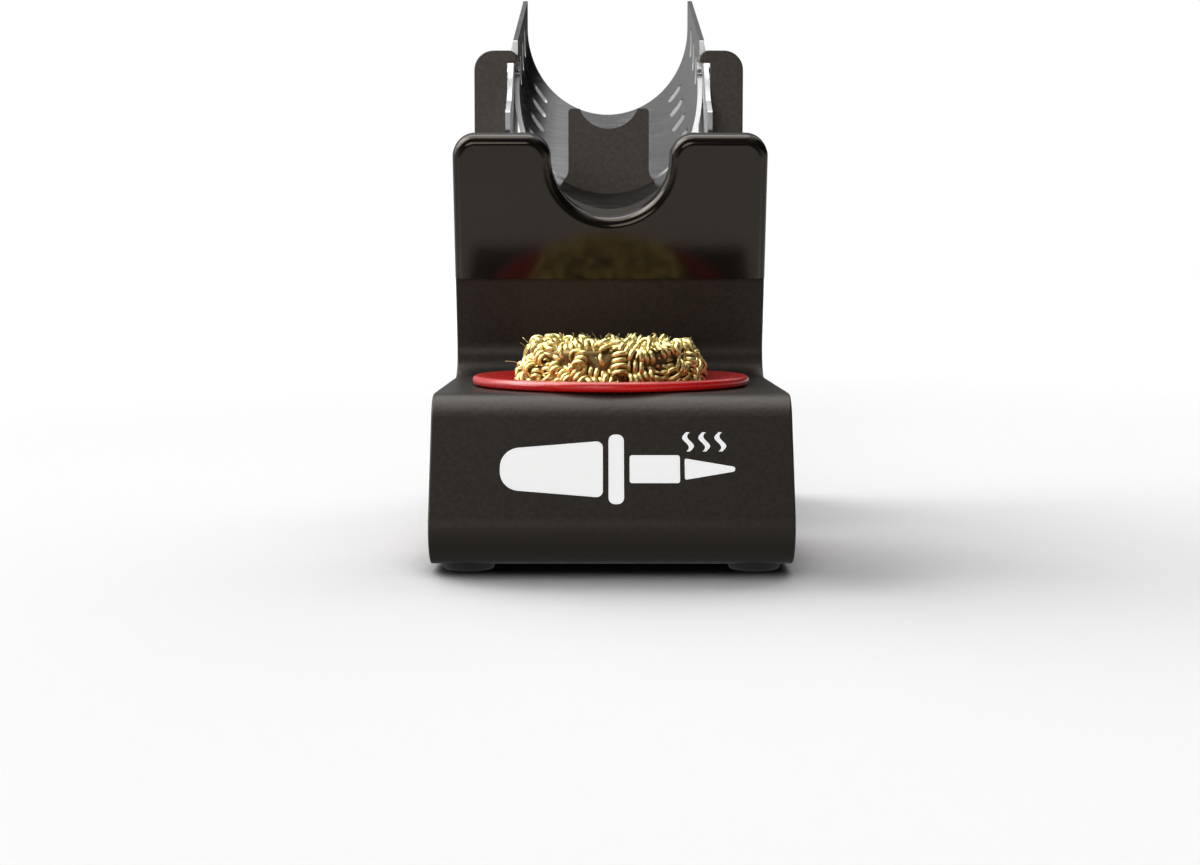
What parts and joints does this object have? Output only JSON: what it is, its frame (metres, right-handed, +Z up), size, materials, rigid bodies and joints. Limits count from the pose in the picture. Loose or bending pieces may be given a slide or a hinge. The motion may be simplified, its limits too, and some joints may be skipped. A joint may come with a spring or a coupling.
{
  "type": "soldering iron stand",
  "caption": "Bench stand for a soldering iron: folded steel base with a red cleaner dish of brass wool, a glossy notched rest and a rising slotted steel cradle.",
  "frame": {"origin": "on the bench, under the middle of the whole stand's width and length", "axes": "+Z up from the bench, -Y towards the user at the front face, +Y towards the raised rear of the cradle, +X to the user's right"},
  "size_m": [0.09, 0.2756, 0.1777],
  "materials": {
    "coated_steel": "fine textured powder coat, black-brown",
    "gloss_cover": "high gloss moulded black",
    "stainless": "fine brushed across the trough",
    "stainless_rivet": "plain bright",
    "plated_steel": "bright zinc plating",
    "black_steel": "black oxide",
    "red_silicone": "satin moulded silicone",
    "brass_swarf": "loose curled brass turnings",
    "foot_rubber": "matt black"
  },
  "bodies": {
    "stand": {"base_shell": "coated_steel", "rest_cover": "gloss_cover", "cover_screws": "black_steel", "foot_front_left": "foot_rubber", "foot_front_right": "foot_rubber", "foot_rear_left": "foot_rubber", "foot_rear_right": "foot_rubber", "rear_support": "coated_steel", "flange_screws": "plated_steel", "flange_washers": "plated_steel", "flange_nuts": "plated_steel", "tool_cradle": "stainless", "cradle_bracket_left": "stainless", "cradle_bracket_right": "stainless", "cradle_rivets": "stainless_rivet"},
    "dish": {"cleaner_dish": "red_silicone"},
    "wool": {"brass_wool": "brass_swarf"}
  },
  "joints": [
    {"name": "dish_lift", "type": "slide", "parent": "stand", "child": "dish", "axis": [0, 0, 1], "range_m": [0, 0.026]},
    {"name": "wool_lift", "type": "slide", "parent": "dish", "child": "wool", "axis": [0, 0, 1], "range_m": [0, 0.026]}
  ]
}
